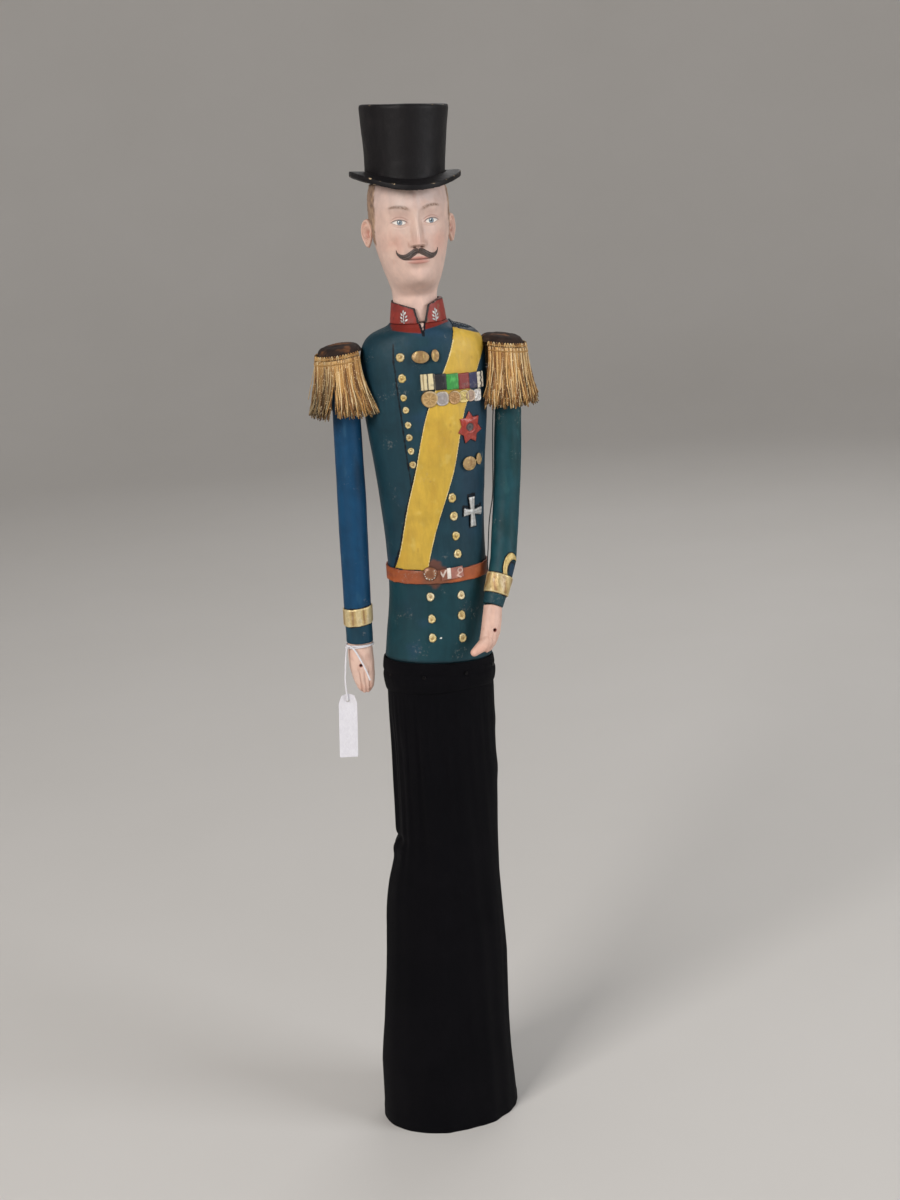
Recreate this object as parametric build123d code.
from build123d import *
import os
from math import cos, pi, radians, sin, tan

# A wayang golek rod puppet: a carved gentleman in a top hat and parade tunic. Millimetres, +Z up.
# The figure faces -Y and its left hand is on the +X side. The origin is the lower end of the grip,
# on the axis of the rod that turns the head.

# ---- driving dimensions ----
ROD_R = 4.0  # the rod that carries the head
ROD_TOP = 470.0
RUNNING_GAP = 0.06
GRIP_R = 12.0  # the turned handle that the hand holds
GRIP_TOP = 131.0
SPIGOT_R = 11.0  # the grip's upper end, glued up into the trunk
SPIGOT_TOP = 162.0
KNOB_R = 10.5
KNOB_TOP = -0.4
KNOB_HEIGHT = 16.0
KNOB_ROUND = 4.0
KNOB_PIN_R = 1.0
KNOB_PIN_SHORT = 0.6  # how far the pin's ends lie inside the knob

# lower edge of the painted tunic on the axis, and its slope down to the figure's left
HEM_Z, HEM_TURN = 156.8, 4.0
# height, centre x, half width, half depth of the trunk
TRUNK = [
    (409.0, 1.5, 21.5, 20.0),
    (403.0, 1.8, 34.5, 24.4),
    (395.0, 2.2, 43.2, 27.2),
    (383.0, 2.2, 46.2, 29.0),
    (365.0, 2.0, 46.0, 30.0),
    (347.0, 2.0, 45.6, 30.0),
    (330.0, 2.0, 44.3, 29.6),
    (314.0, 2.0, 42.4, 29.0),
    (295.0, 2.0, 40.5, 28.4),
    (276.0, 2.0, 39.1, 28.0),
    (260.0, 2.0, 38.0, 27.6),
    (243.0, 2.0, 37.4, 27.3),
    (226.0, 2.0, 37.2, 27.2),
    (209.0, 1.6, 37.5, 27.5),
    (192.0, 0.6, 38.4, 28.2),
    (175.0, -0.7, 39.7, 28.9),
    (150.0, -2.3, 41.5, 29.7),
]
# the recessed rim that the sleeve is nailed to
RIM_CENTRE, RIM_BOTTOM, RIM_TOP = -1.9, 132.0, 164.0
RIM_X, RIM_Y = 39.2, 27.6
BORE_BOTTOM, BORE_TOP = -50.0, 430.0

SASH_THICK = 0.7
BELT_THICK = 1.3
BADGE_THICK = 1.4
RIBBON_SKIN = 2.2
CLASP_SKIN = 2.6
# edges of the sash seen from the front, from the shoulder to the belt
SASH_INNER = [
    (22.5, 420.0),
    (23.4, 404.2),
    (12.6, 374.7),
    (-0.3, 349.2),
    (-13.0, 302.5),
    (-21.5, 271.5),
    (-26.5, 247.0),
    (-33.0, 226.0),
]
SASH_OUTER = [
    (51.0, 420.0),
    (50.0, 399.0),
    (38.7, 370.9),
    (27.0, 344.0),
    (16.4, 302.5),
    (4.7, 271.5),
    (-7.0, 235.0),
    (-9.0, 226.0),
]
BELT_Z, BELT_WIDTH, BELT_PITCH, BELT_TURN = 224.2, 10.4, 2.5, 1.2
BUCKLE_AT, BUCKLE_R, BUCKLE_GAP = (-7.6, BELT_Z + 1.6), 5.6, 0.4
PLATE_AT, PLATE_WIDTH, PLATE_HEIGHT, PLATE_TURN = (8.8, BELT_Z + 0.6), 17.0, 8.4, 4.0

BUTTON_R = 3.6
CHEST_BUTTONS = [(-17.4, 386.6), (-17.4, 371.6), (-17.4, 357.6), (-16.4, 348.6)]
PLASTRON_BUTTONS = [(-15.6, 337.6), (-15.4, 328.4), (-14.8, 318.4), (-14.2, 308.2)]
WAIST_BUTTONS = [(12.8, 281.0), (13.2, 267.2), (13.8, 252.2), (14.2, 238.4)]
SKIRT_BUTTONS = [(-8.5, 208.2), (-8.8, 191.4), (-9.4, 177.0), (14.6, 206.8), (13.8, 191.6), (13.4, 174.4)]
# centre x, z, width, height and lean of the frog toggles
TOGGLES = [
    (-3.4, 386.2, 12.6, 8.8, 4.0),
    (7.4, 386.4, 5.6, 8.8, 0.0),
    (28.0, 304.8, 10.6, 10.4, 20.0),
    (36.0, 306.6, 4.4, 8.6, 0.0),
]
RIBBON_EDGES = [-4.8, 5.6, 14.0, 23.2, 31.8, 38.2, 43.4]
RIBBON_TOP, RIBBON_HEIGHT, RIBBON_DROP, RIBBON_GAP = 373.8, 11.6, 0.08, 0.2
# centre x, z and radius of the medals under the ribbon bar
MEDALS = [
    (1.0, 355.5, 6.3),
    (10.2, 355.0, 5.4),
    (19.4, 354.7, 5.2),
    (26.6, 354.5, 4.8),
    (32.0, 354.3, 4.6),
    (37.6, 353.8, 4.7),
]
MEDAL_GAP = 0.15
STAR_AT, STAR_X, STAR_Z, STAR_POINTS, STAR_INNER = (30.0, 331.0), 9.9, 12.2, 7, 0.68
CROSS_AT, CROSS_X, CROSS_Z, CROSS_WAIST, CROSS_TURN = (28.2, 268.9), 7.4, 12.2, 1.7, -6.0
CROSS_END_X, CROSS_END_Z = 3.6, 2.7  # half widths of the side arms' ends and of the upright's ends

COLLAR_BORE = 17.0
COLLAR_CENTRE = 1.2
# height, half width and half depth of the standing collar
COLLAR = [(400.0, 21.8, 20.8), (409.0, 20.7, 19.7), (425.0, 18.7, 18.5)]
COLLAR_V = [(-4.6, 427.0), (7.9, 427.0), (0.7, 401.0)]  # the opening at the throat
# the collar's front is cut down to this line towards the opening
COLLAR_DIP = [(-20.0, 425.6), (-3.0, 419.8), (6.2, 421.8), (20.0, 426.6)]
LEAF_CENTRE, LEAF_AT, LEAF_X, LEAF_Z, LEAF_THICK, LEAF_TURN = 0.2, (11.4, 413.6), 3.0, 5.0, 0.8, 12.0

NECK_R, NECK_BOTTOM, NECK_TOP = 16.2, 409.6, 445.0
# height, centre y, half width, half depth of the head, chin first
HEAD = [
    (429.0, -0.6, 15.4, 16.0),
    (433.0, -2.2, 16.8, 19.6),
    (439.0, -4.5, 18.8, 24.5),
    (447.0, -4.5, 21.4, 28.5),
    (457.0, -3.0, 24.2, 31.5),
    (470.0, -1.5, 27.0, 33.6),
    (486.0, 0.0, 28.5, 34.6),
    (500.0, 0.5, 28.2, 34.0),
    (508.0, 0.5, 26.4, 31.6),
    (514.0, 0.5, 22.0, 27.0),
    (518.0, 0.5, 14.0, 18.0),
]
NOSE_TOP, NOSE_TIP, NOSE_TOP_R, NOSE_TIP_R = (0.0, -32.0, 476.0), (0.0, -34.6, 466.0), 2.6, 4.0
EAR_AT, EAR_X, EAR_Z, EAR_THICK, EAR_TURN = (30.6, 4.0, 473.5), 6.4, 10.5, 3.0, 60.0
WHISKER_AT, WHISKER_X, WHISKER_Z, WHISKER_TURN, WHISKER_THICK = (7.4, 459.6), 8.2, 2.5, 9.0, 1.8

HAT_TILT = 3.0
HAT_X, HAT_Y = -1.2, 0.5
BRIM_Z, BRIM_X, BRIM_Y, BRIM_THICK = 503.0, 40.0, 45.0, 4.0
BRIM_REACH, BRIM_ARCH = 46.0, 9.4  # the brim arches up from its front and back to its sides
# height, half width and half depth of the hat's crown
CROWN = [(504.0, 29.3, 33.6), (522.0, 29.0, 33.2), (541.0, 30.2, 34.2), (562.5, 32.2, 36.2)]

SHOULDER_Z = 372.0
SHOULDER_PIN_R = 1.5
RIGHT_SHOULDER_X, LEFT_SHOULDER_X = -57.0, 62.0
# inner and outer ends of the pins that the arms swing on
SHOULDER_PINS = {"right": (-36.0, -68.4), "left": (40.0, 73.2)}
PIN_HEAD_R, PIN_HEAD_THICK, BORE_REACH = 3.0, 1.4, 30.0
# centre x, y, z and the two half widths along each arm, shoulder first
RIGHT_ARM = [
    (-57.0, 0.0, 383.5, 4.5, 4.5),
    (-57.0, 0.0, 382.0, 7.2, 7.2),
    (-57.0, 0.0, 379.0, 9.2, 9.4),
    (-57.0, 0.0, SHOULDER_Z, 10.0, 10.4),
    (-56.6, 0.0, 353.0, 10.1, 10.4),
    (-57.4, 0.0, 317.0, 10.6, 10.6),
    (-58.2, 0.0, 282.0, 10.9, 10.8),
    (-59.4, 0.0, 236.0, 10.6, 10.6),
    (-60.4, 0.0, 204.0, 10.3, 10.2),
    (-61.2, -1.0, 173.0, 10.2, 9.8),
]
LEFT_ARM = [
    (62.0, 0.0, 383.5, 4.5, 4.5),
    (62.0, 0.0, 382.0, 7.2, 7.2),
    (62.0, 0.0, 379.0, 9.2, 9.4),
    (62.2, 0.0, SHOULDER_Z, 9.8, 10.2),
    (63.2, -1.0, 337.0, 10.1, 10.0),
    (60.4, -3.0, 304.0, 10.3, 9.8),
    (56.8, -6.0, 271.0, 10.1, 9.6),
    (53.4, -10.5, 249.0, 10.1, 9.6),
    (49.5, -17.0, 228.3, 9.8, 9.4),
    (43.6, -23.5, 212.0, 8.9, 8.8),
    (37.4, -29.0, 197.2, 7.9, 8.2),
]
RIGHT_HAND = [
    (-61.2, -1.0, 173.0, 9.0, 7.0),
    (-61.2, -1.4, 165.0, 9.4, 6.8),
    (-61.0, -1.8, 155.0, 9.5, 6.5),
    (-60.2, -2.6, 145.0, 8.2, 6.0),
    (-59.6, -3.4, 138.0, 6.2, 5.0),
    (-59.6, -3.8, 134.0, 3.2, 3.0),
]
LEFT_HAND = [
    (37.4, -29.0, 197.2, 7.0, 6.0),
    (35.6, -32.0, 188.0, 7.4, 6.0),
    (33.4, -34.5, 179.0, 7.2, 6.0),
    (30.4, -36.8, 172.0, 6.4, 5.6),
    (28.2, -38.2, 167.6, 4.6, 4.4),
    (26.8, -38.8, 165.6, 2.8, 2.6),
]
THUMB_ROOT, THUMB_TIP, THUMB_ROOT_R, THUMB_TIP_R = (30.0, -38.2, 172.4), (19.0, -42.2, 166.2), 5.6, 2.9
WRIST_DOWEL_R, WRIST_DOWEL_UP, WRIST_DOWEL_DOWN = 2.2, 12.0, 10.0
# the small holes that the arm rods hook into, as x and z
ROD_HOLE_R = 0.9
RIGHT_ROD_HOLE, LEFT_ROD_HOLE = (-62.4, 156.3), (36.0, 181.0)
RIGHT_BAND_AT, RIGHT_BAND_WIDTH, RIGHT_BAND_TURN, BAND_SKIN = (-60.0, 0.0, 194.0), 13.4, 4.0, 0.75
LEFT_BAND_AT, LEFT_BAND_WIDTH = (43.1, -23.9, 211.4), 15.0
LEFT_BAND_WAY = (6.4, 5.6, 15.6)  # along the forearm
CURL_AT, CURL_TURN, CURL_START = (52.5, 224.6), -14.0, 17.0
CURL_X, CURL_Z, CURL_EYE_AT, CURL_EYE_X, CURL_EYE_Z = 5.4, 10.4, (2.4, -2.0), 4.3, 7.4

# the domed shoulder boards: centre x, z, slope
RIGHT_BOARD, LEFT_BOARD = (-58.4, 392.5, 6.0), (61.8, 390.3, -8.0)
# height above the board's underside, centre, half width, half depth of its dome
BOARD_DOME = [(6.8, 0.0, 5.0, 6.5), (5.8, 0.0, 10.8, 13.6), (3.6, 0.0, 15.0, 19.0), (0.0, 0.0, 16.6, 21.0)]
BOARD_SINK = 2.0  # its underside below its centre
FRINGE_TOP_GROW = 0.6
FRINGE_BOTTOM = {"right": 343.5, "left": 340.5}
FRINGE_THICK = 2.4
# how far the fringes' feet stand inwards and outwards of their tops
FRINGE_INWARD = {"right": 4.5, "left": 5.4}
FRINGE_OUTWARD = {"right": 8.6, "left": 7.6}
FRINGE_FORWARD = 3.4

SLEEVE_WALL = 1.2
# height, centre x, half width, half depth of the black cloth sleeve
SLEEVE = [
    (162.0, -1.9, 40.6, 29.0),
    (133.0, -1.9, 40.6, 29.0),
    (122.0, -2.6, 40.3, 29.4),
    (80.0, -4.2, 40.0, 31.0),
    (18.0, -5.4, 39.4, 33.0),
    (-19.0, -10.3, 43.2, 36.0),
    (-86.0, -13.6, 49.2, 40.0),
    (-172.0, -20.0, 53.0, 44.0),
    (-221.0, -20.6, 54.4, 45.0),
]
BAND_BOTTOM, BAND_THICK = 134.0, 1.4
HEM_GAP = 0.4  # between the tunic's hem and the top of the sleeve
TACK_COUNT, TACK_Z = 8, 147.0
TACK_HEAD_R, TACK_HEAD_THICK, TACK_SHANK_R, TACK_SHANK = 1.4, 0.7, 0.5, 7.0

STRING_D = 1.3
LOOP_FLAT = 0.8  # the wrist loop's width in string diameters
THREAD_D = 0.8
# centre and inner half widths of the string's loop round the wrist
LOOP_AT, LOOP_X, LOOP_Y = (-61.2, -1.1, 170.6), 9.55, 7.25
# routes of the tag's string, its loose end and the thread inside the left arm
STRING_ROUTE = [
    (-72.0, -6.0, 170.2),
    (-73.3, -7.2, 163.4),
    (-74.5, -8.3, 154.6),
    (-75.5, -9.2, 145.6),
    (-75.2, -9.8, 137.6),
    (-74.9, -9.8, 130.6),
]
TAIL_ROUTE = [
    (-71.4, -6.4, 172.4),
    (-68.8, -9.0, 172.0),
    (-66.2, -10.8, 169.2),
    (-63.5, -11.3, 163.3),
    (-60.7, -11.3, 156.9),
    (-58.5, -11.6, 151.0),
    (-56.9, -12.1, 145.2),
]
THREAD_ROUTE = [
    (55.9, -8.2, 360.0),
    (52.6, -8.7, 351.0),
    (50.5, -7.7, 338.0),
    (49.0, -8.2, 318.0),
    (47.6, -8.8, 297.0),
    (46.4, -9.8, 277.0),
    (43.0, -11.4, 264.0),
    (40.8, -13.4, 253.0),
    (38.8, -17.4, 239.0),
    (37.2, -19.8, 230.4),
    (36.4, -20.7, 222.8),
]
CARD_THICK, CARD_TILT = 0.5, 3.6
CARD_HOLE, CARD_HOLE_R = (-74.6, -8.3, 130.0), 1.3
# half width, half width of the top edge, height of the top edge, shoulders and foot from the hole
CARD_X, CARD_TOP_X, CARD_TOP, CARD_SHOULDER, CARD_FOOT = 7.0, 3.0, 5.5, -1.5, -44.5
HALF_SPACE, SLAB = 300.0, 60.0


# ---- helpers ----
def stack(rows, grow=0.0, over=0.0, ruled=False):
    """A body through ellipses given as height, centre x, half width, half depth, top first."""
    rows = [list(row) for row in rows]
    rows[0][0] += over
    rows[-1][0] -= over
    return loft([Pos(cx, 0, z) * Ellipse(a + grow, b + grow) for z, cx, a, b in rows], ruled=ruled)


def limb(rows, grow=0.0):
    """A limb through ellipses set square to its own centre line."""
    points = [Vector(*row[:3]) for row in rows]
    sections = []
    for i, row in enumerate(rows):
        along = points[min(i + 1, len(points) - 1)] - points[max(i - 1, 0)]
        plane = Plane(points[i], x_dir=(1, 0, -along.X / along.Z), z_dir=along)
        sections.append(plane * Ellipse(row[3] + grow, row[4] + grow))
    return loft(sections, ruled=True)


def rod(start, end, radius):
    """A round bar between two points."""
    start, end = Vector(*start), Vector(*end)
    return Solid.make_cylinder(radius, (end - start).length, Plane(start, z_dir=end - start))


def taper(start, end, r_start, r_end):
    """A tapered finger with round ends."""
    start, end = Vector(*start), Vector(*end)
    plane = Plane(start, z_dir=end - start)
    body = Solid.make_cone(r_start, r_end, (end - start).length, plane)
    return body + Pos(*start) * Sphere(r_start) + Pos(*end) * Sphere(r_end)


def front_prism(sketch, start=0.0):
    """A drawing in the X-Z plane pushed forwards, from start millimetres in front of the axis."""
    return extrude(Plane.XZ.offset(start) * sketch, HALF_SPACE)


def disc(x, z, radius):
    return Pos(x, z) * Circle(radius)


def tube(route, diameter, name):
    """A cord of straight runs and tangent arcs, as large as the runs allow."""
    points = [Vector(*p) for p in route]
    runs = [(b - a).length for a, b in zip(points, points[1:])]
    radii = []
    for i in range(1, len(points) - 1):
        turn = radians((points[i] - points[i - 1]).get_angle(points[i + 1] - points[i]))
        radii.append(0.45 * min(runs[i - 1], runs[i]) / tan(turn / 2))
    path = FilletPolyline(*points, radius=radii)
    start = Plane(path @ 0, z_dir=path % 0)
    solid = sweep(start * Circle(diameter / 2), path=path)
    expected = pi * diameter**2 / 4 * path.length
    print(name, "length", round(path.length, 1), "volume share", round(solid.volume / expected, 3))
    print(name, "radii", [round(r, 1) for r in radii])
    return solid


def save(shape, name):
    """Writes one named piece, with its solids set apart from any wrapping."""
    solids = list(shape.solids())
    solids[0].label = name
    whole = solids[0] if len(solids) == 1 else Compound(children=solids)
    export_step(whole, f"parts/{name}.step")


os.makedirs("parts", exist_ok=True)


# ---- trunk, rod and grip ----
cube = Box(HALF_SPACE, HALF_SPACE, HALF_SPACE)
trunk_skin = {
    grow: stack(TRUNK, grow)
    for grow in (0.0, SASH_THICK, BELT_THICK, BADGE_THICK, RIBBON_SKIN, CLASP_SKIN)
}
below_hem = Pos(0, 0, HEM_Z) * Rot(0, HEM_TURN, 0) * Pos(0, 0, -HALF_SPACE / 2) * cube
above_hem = Pos(0, 0, HALF_SPACE - HEM_GAP) * below_hem
trunk = trunk_skin[0.0] - below_hem


def shell(inner, outer):
    """The layer between two offsets of the trunk."""
    return trunk_skin[outer] - trunk_skin[inner]


rim = Pos(RIM_CENTRE, 0, RIM_BOTTOM) * extrude(Ellipse(RIM_X, RIM_Y), RIM_TOP - RIM_BOTTOM)
spigot = rod((0, 0, GRIP_TOP), (0, 0, SPIGOT_TOP), SPIGOT_R)
grip = rod((0, 0, 0), (0, 0, GRIP_TOP), GRIP_R) + spigot
rod_bore = rod((0, 0, BORE_BOTTOM), (0, 0, BORE_TOP), ROD_R + RUNNING_GAP)
pin_shanks = {
    side: rod((inner, 0, SHOULDER_Z), (outer, 0, SHOULDER_Z), SHOULDER_PIN_R)
    for side, (inner, outer) in SHOULDER_PINS.items()
}
save(trunk + rim - grip - rod_bore - pin_shanks["right"] - pin_shanks["left"], "torso")
save(grip - rod_bore, "body_handle")
for side, (inner, outer) in SHOULDER_PINS.items():
    way = 1 if outer > inner else -1
    pin_head = rod((outer, 0, SHOULDER_Z), (outer + way * PIN_HEAD_THICK, 0, SHOULDER_Z), PIN_HEAD_R)
    save(pin_shanks[side] + pin_head, f"{side}_shoulder_pin")

knob_pin_z = KNOB_TOP - KNOB_HEIGHT / 2
knob_pin_x = KNOB_R - KNOB_PIN_SHORT
knob_pin = rod((-knob_pin_x, 0, knob_pin_z), (knob_pin_x, 0, knob_pin_z), KNOB_PIN_R)
head_rod = rod((0, 0, KNOB_TOP - KNOB_HEIGHT + 1), (0, 0, ROD_TOP), ROD_R)
knob_blank = Cylinder(KNOB_R, KNOB_HEIGHT)
knob_blank = fillet(knob_blank.edges().group_by(Axis.Z)[0], KNOB_ROUND)
save(head_rod - knob_pin, "head_rod")
save(Pos(0, 0, knob_pin_z) * knob_blank - head_rod - knob_pin, "rod_knob")
save(knob_pin, "knob_pin")


# ---- collar ----
def collar_skin(grow):
    return loft([Pos(COLLAR_CENTRE, 0, z) * Ellipse(a + grow, b + grow) for z, a, b in COLLAR])


collar_outer = collar_skin(0.0)
collar_bore = rod((0, 0, TRUNK[2][0] - 15), (0, 0, BORE_TOP), COLLAR_BORE)
throat = front_prism(make_face(Polyline(*COLLAR_V, close=True)))
dip = front_prism(make_face(Polyline(*COLLAR_DIP, (20.0, BORE_TOP), (-20.0, BORE_TOP), close=True)))
save(collar_outer - collar_bore - trunk - throat - dip, "collar")
leaf_shell = collar_skin(LEAF_THICK) - collar_outer - trunk
leaves = []
for side in (-1, 1):
    leaf = Pos(LEAF_CENTRE + side * LEAF_AT[0], LEAF_AT[1]) * Rot(0, 0, -side * LEAF_TURN)
    leaves.append(front_prism(leaf * Ellipse(LEAF_X, LEAF_Z)) & leaf_shell)
save(Part() + leaves, "collar_ornaments")

# ---- sash and belt ----
sash_inner, sash_outer = Spline(*SASH_INNER), Spline(*SASH_OUTER)
foot_line = Line(sash_inner @ 1, sash_outer @ 1)
head_line = Line(sash_outer @ 0, sash_inner @ 0)
sash_outline = make_face([sash_inner, foot_line, sash_outer, head_line])
sash_prism = extrude(Plane.XZ * sash_outline, HALF_SPACE, both=True)
belt_slab = Pos(0, 0, BELT_Z) * Rot(BELT_PITCH, BELT_TURN, 0) * Box(HALF_SPACE, HALF_SPACE, BELT_WIDTH)
below_belt = Pos(0, 0, BELT_Z - HALF_SPACE / 2) * cube
sash = (shell(0.0, SASH_THICK) & sash_prism) - belt_slab - below_belt - collar_outer
save(shell(0.0, BELT_THICK) & belt_slab, "belt")
save(sash, "sash")

# ---- clasp, buttons and toggles ----
clasp_shell = shell(BELT_THICK, CLASP_SKIN)
plate_outline = Pos(*PLATE_AT) * Rot(0, 0, PLATE_TURN) * Rectangle(PLATE_WIDTH, PLATE_HEIGHT)
plate_clearance = front_prism(disc(*BUCKLE_AT, BUCKLE_R + BUCKLE_GAP))
save(front_prism(disc(*BUCKLE_AT, BUCKLE_R)) & clasp_shell, "belt_buckle")
save((front_prism(plate_outline) & clasp_shell) - plate_clearance, "belt_plate")

badge_shell = shell(0.0, BADGE_THICK)
button_places = CHEST_BUTTONS + PLASTRON_BUTTONS + WAIST_BUTTONS + SKIRT_BUTTONS
buttons = [front_prism(disc(x, z, BUTTON_R)) & badge_shell for x, z in button_places]
save(Part() + buttons - sash, "tunic_buttons")

toggle_shell = shell(SASH_THICK, CLASP_SKIN)
toggles = []
for x, z, width, height, lean in TOGGLES:
    outline = Pos(x, z) * Rot(0, 0, -lean) * Ellipse(width / 2, height / 2)
    toggles.append(front_prism(outline) & toggle_shell)
save(Part() + toggles, "toggles")

# ---- ribbons, medals, star and cross ----
ribbon_shell = shell(SASH_THICK, RIBBON_SKIN)
ribbons = []
for low, high in zip(RIBBON_EDGES, RIBBON_EDGES[1:]):
    middle = (low + high) / 2
    at = Pos(middle, RIBBON_TOP - RIBBON_DROP * middle - RIBBON_HEIGHT / 2)
    ribbons.append(front_prism(at * Rectangle(high - low - RIBBON_GAP, RIBBON_HEIGHT)) & ribbon_shell)
save(Part() + ribbons, "ribbon_bar")

medals = []
for i, (x, z, radius) in enumerate(MEDALS):
    medal = front_prism(disc(x, z, radius)) & ribbon_shell
    if i:
        before_x, before_z, before_radius = MEDALS[i - 1]
        medal = medal - front_prism(disc(before_x, before_z, before_radius + MEDAL_GAP))
    medals.append(medal)
save(Part() + medals, "medals")

star_corners = []
for i in range(2 * STAR_POINTS):
    reach = 1.0 if i % 2 == 0 else STAR_INNER
    turn = pi * i / STAR_POINTS
    star_corners.append((STAR_X * reach * sin(turn), STAR_Z * reach * cos(turn)))
star_outline = Pos(*STAR_AT) * make_face(Polyline(*star_corners, close=True))
save((front_prism(star_outline) & badge_shell) - sash, "star_badge")


def flared_bar(reach, end):
    """An upright bar that is narrow in the middle and wide at its ends."""
    half = [(-CROSS_WAIST, 0.0), (-end, reach), (end, reach)]
    return make_face(Polyline(*half, *[(-x, -z) for x, z in half], close=True))


side_arms = Rot(0, 0, 90 + CROSS_TURN) * flared_bar(CROSS_X, CROSS_END_X)
cross_outline = Pos(*CROSS_AT) * (flared_bar(CROSS_Z, CROSS_END_Z) + side_arms)
save(front_prism(cross_outline) & badge_shell, "cross_badge")

# ---- shoulder boards and their bullion fringes ----
board_x, board_y = BOARD_DOME[-1][2:]
for side, (x, z, slope) in {"right": RIGHT_BOARD, "left": LEFT_BOARD}.items():
    underside = Pos(x, 0, z) * Rot(0, -slope, 0) * Pos(0, 0, -BOARD_SINK)
    save(underside * stack(BOARD_DOME) - trunk - sash, f"{side}_epaulette_board")
    out = 1 if side == "left" else -1
    foot_out = x + out * (board_x + FRINGE_OUTWARD[side])
    foot_in = x - out * (board_x + FRINGE_INWARD[side])
    foot_x = abs(foot_out - foot_in) / 2
    fringe_rows = [
        (z - BOARD_SINK, x, board_x + FRINGE_TOP_GROW, board_y + FRINGE_TOP_GROW),
        (FRINGE_BOTTOM[side], (foot_out + foot_in) / 2, foot_x, board_y + FRINGE_FORWARD),
    ]
    curtain = stack(fringe_rows) - stack(fringe_rows, -FRINGE_THICK, 1.0)
    above = underside * Pos(0, 0, HALF_SPACE / 2 - 0.3) * cube
    save(curtain - above - trunk_skin[BADGE_THICK], f"{side}_fringe")

# ---- arms, cuffs and hands ----
right_skin, left_skin = limb(RIGHT_ARM), limb(LEFT_ARM)


def wrist_dowel(arm, hand):
    """A dowel along the first stretch of the hand, half of it in the arm."""
    wrist = Vector(*arm[-1][:3])
    way = (Vector(*hand[1][:3]) - Vector(*hand[0][:3])).normalized()
    return rod(wrist - way * WRIST_DOWEL_UP, wrist + way * WRIST_DOWEL_DOWN, WRIST_DOWEL_R)


right_dowel, left_dowel = wrist_dowel(RIGHT_ARM, RIGHT_HAND), wrist_dowel(LEFT_ARM, LEFT_HAND)
save(right_dowel, "right_wrist_dowel")
save(left_dowel, "left_wrist_dowel")


def pin_bore(x):
    start, end = (x - BORE_REACH, 0, SHOULDER_Z), (x + BORE_REACH, 0, SHOULDER_Z)
    return rod(start, end, SHOULDER_PIN_R + RUNNING_GAP)


save(right_skin - pin_bore(RIGHT_SHOULDER_X) - right_dowel, "right_arm")
save(left_skin - pin_bore(LEFT_SHOULDER_X) - left_dowel, "left_arm")

right_slab = Pos(*RIGHT_BAND_AT) * Rot(0, -RIGHT_BAND_TURN, 0) * Box(SLAB, SLAB, RIGHT_BAND_WIDTH)
right_band = limb(RIGHT_ARM, BAND_SKIN) & right_slab
left_slab = Plane(LEFT_BAND_AT, z_dir=LEFT_BAND_WAY) * Box(SLAB, SLAB, LEFT_BAND_WIDTH)
left_band = limb(LEFT_ARM, BAND_SKIN) & left_slab
save(right_band - right_skin, "right_cuff_band")
save(left_band - left_skin, "left_cuff_band")
curl_eye = Pos(*CURL_EYE_AT) * Ellipse(CURL_EYE_X, CURL_EYE_Z)
curl_outline = Pos(*CURL_AT) * Rot(0, 0, CURL_TURN) * (Ellipse(CURL_X, CURL_Z) - curl_eye)
curl = front_prism(curl_outline, CURL_START) & limb(LEFT_ARM, BAND_SKIN)
save(curl - left_skin - left_band, "cuff_curl")


def rod_hole(at):
    x, z = at
    return rod((x, HALF_SPACE, z), (x, -HALF_SPACE, z), ROD_HOLE_R)


save(limb(RIGHT_HAND) - right_dowel - rod_hole(RIGHT_ROD_HOLE) - right_skin, "right_hand")
thumb = taper(THUMB_ROOT, THUMB_TIP, THUMB_ROOT_R, THUMB_TIP_R)
save(limb(LEFT_HAND) - rod_hole(LEFT_ROD_HOLE) + thumb - left_dowel - left_skin, "left_hand")


# ---- head and hat ----
def skull(grow=0.0):
    return loft([Pos(0, cy, z) * Ellipse(a + grow, b + grow) for z, cy, a, b in HEAD])


nose = taper(NOSE_TOP, NOSE_TIP, NOSE_TOP_R, NOSE_TIP_R)
head_shape = skull() + rod((0, 0, NECK_BOTTOM), (0, 0, NECK_TOP), NECK_R) - head_rod + nose
for side in (-1, 1):
    back = Vector(side * cos(radians(EAR_TURN)), sin(radians(EAR_TURN)), 0)
    ear_plane = Plane((side * EAR_AT[0], *EAR_AT[1:]), x_dir=back, z_dir=back.cross(Vector(0, 0, 1)))
    head_shape = head_shape + extrude(ear_plane * Ellipse(EAR_X, EAR_Z), EAR_THICK / 2, both=True)
save(head_shape, "head")

hat_place = Pos(HAT_X, HAT_Y, BRIM_Z) * Rot(0, HAT_TILT, 0)
crown_block = loft([Pos(0, 0, z - BRIM_Z) * Ellipse(a, b) for z, a, b in CROWN])
brim_low = ThreePointArc((-BRIM_REACH, 0), (0, BRIM_ARCH), (BRIM_REACH, 0))
brim_high = Pos(0, BRIM_THICK) * brim_low
brim_sides = [Line(brim_low @ end, brim_high @ end) for end in (0, 1)]
brim_sheet = extrude(Plane.YZ * make_face([brim_low, brim_high, *brim_sides]), HALF_SPACE, both=True)
brim_edge = extrude(Ellipse(BRIM_X, BRIM_Y), BRIM_REACH, both=True)
under_face = make_face([brim_low, Line(brim_low @ 1, brim_low @ 0)])
under_brim = extrude(Plane.YZ * under_face, HALF_SPACE, both=True)
crown = hat_place * (crown_block - under_brim)
brim = hat_place * (brim_sheet & brim_edge)
save(crown - head_shape, "hat_crown")
save(brim - crown - head_shape, "hat_brim")

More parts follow.
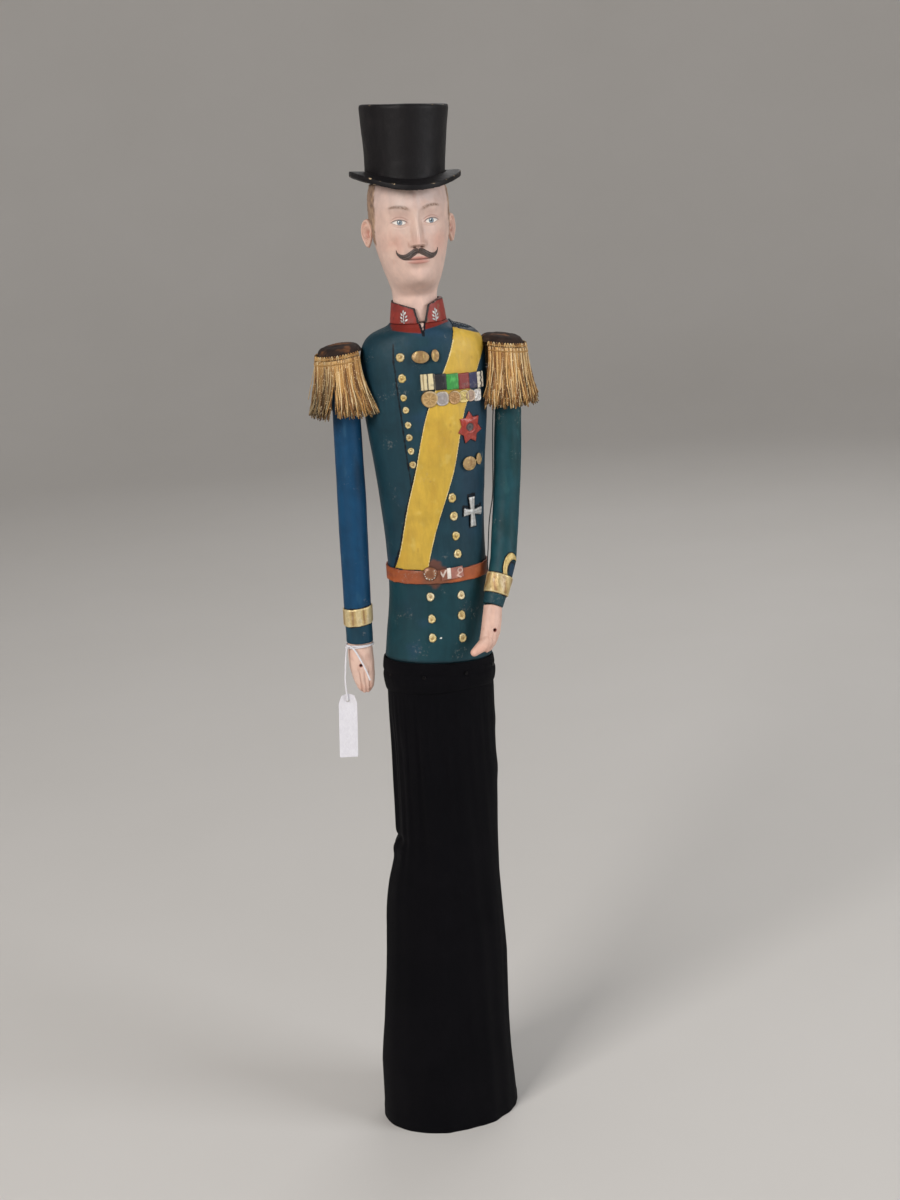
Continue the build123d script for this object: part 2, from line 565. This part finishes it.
whisker_shell = skull(WHISKER_THICK) - skull()
whiskers = []
for side in (-1, 1):
    at = Pos(side * WHISKER_AT[0], WHISKER_AT[1]) * Rot(0, 0, side * WHISKER_TURN)
    whiskers.append(front_prism(at * Ellipse(WHISKER_X, WHISKER_Z)) & whisker_shell)
save(Part() + whiskers - nose, "moustache")

# ---- sleeve ----
sleeve = stack(SLEEVE, ruled=True) - stack(SLEEVE, -SLEEVE_WALL, 1.0, ruled=True) - above_hem
save(sleeve, "sleeve_cloth")
band_top, band_centre, band_x, band_y = SLEEVE[0]
band_ring = Ellipse(band_x + BAND_THICK, band_y + BAND_THICK) - Ellipse(band_x, band_y)
band = Pos(band_centre, 0, BAND_BOTTOM) * extrude(band_ring, band_top - BAND_BOTTOM)
save(band - above_hem, "sleeve_waistband")
tacks = []
for i in range(TACK_COUNT):
    turn = 2 * pi * (i + 0.5) / TACK_COUNT
    foot = Vector((band_x + BAND_THICK) * cos(turn), (band_y + BAND_THICK) * sin(turn), TACK_Z)
    foot += Vector(band_centre, 0, 0)
    out = Vector(cos(turn) / band_x, sin(turn) / band_y, 0).normalized()
    shank = rod(foot - out * TACK_SHANK, foot, TACK_SHANK_R)
    tacks.append(shank + rod(foot, foot + out * TACK_HEAD_THICK, TACK_HEAD_R))
save(Part() + tacks, "sleeve_tacks")

# ---- price tag on its string, and the thread inside the left arm ----
loop_ring = Ellipse(LOOP_X + STRING_D * LOOP_FLAT, LOOP_Y + STRING_D * LOOP_FLAT) - Ellipse(LOOP_X, LOOP_Y)
save(Pos(*LOOP_AT) * Pos(0, 0, -STRING_D / 2) * extrude(loop_ring, STRING_D), "wrist_loop")
for route, diameter, name in [
    (STRING_ROUTE, STRING_D, "tag_string"),
    (TAIL_ROUTE, STRING_D, "tag_tail"),
    (THREAD_ROUTE, THREAD_D, "arm_thread"),
]:
    save(tube(route, diameter, name), name)
right_edge = [(CARD_TOP_X, CARD_TOP), (CARD_X, CARD_SHOULDER), (CARD_X, CARD_FOOT)]
left_edge = [(-x, z) for x, z in reversed(right_edge)]
card_outline = make_face(Polyline(*right_edge, *left_edge, close=True))
card_blank = extrude(Plane.XZ * (card_outline - Circle(CARD_HOLE_R)), CARD_THICK / 2, both=True)
save(Pos(*CARD_HOLE) * Rot(0, CARD_TILT, 0) * card_blank, "tag_card")
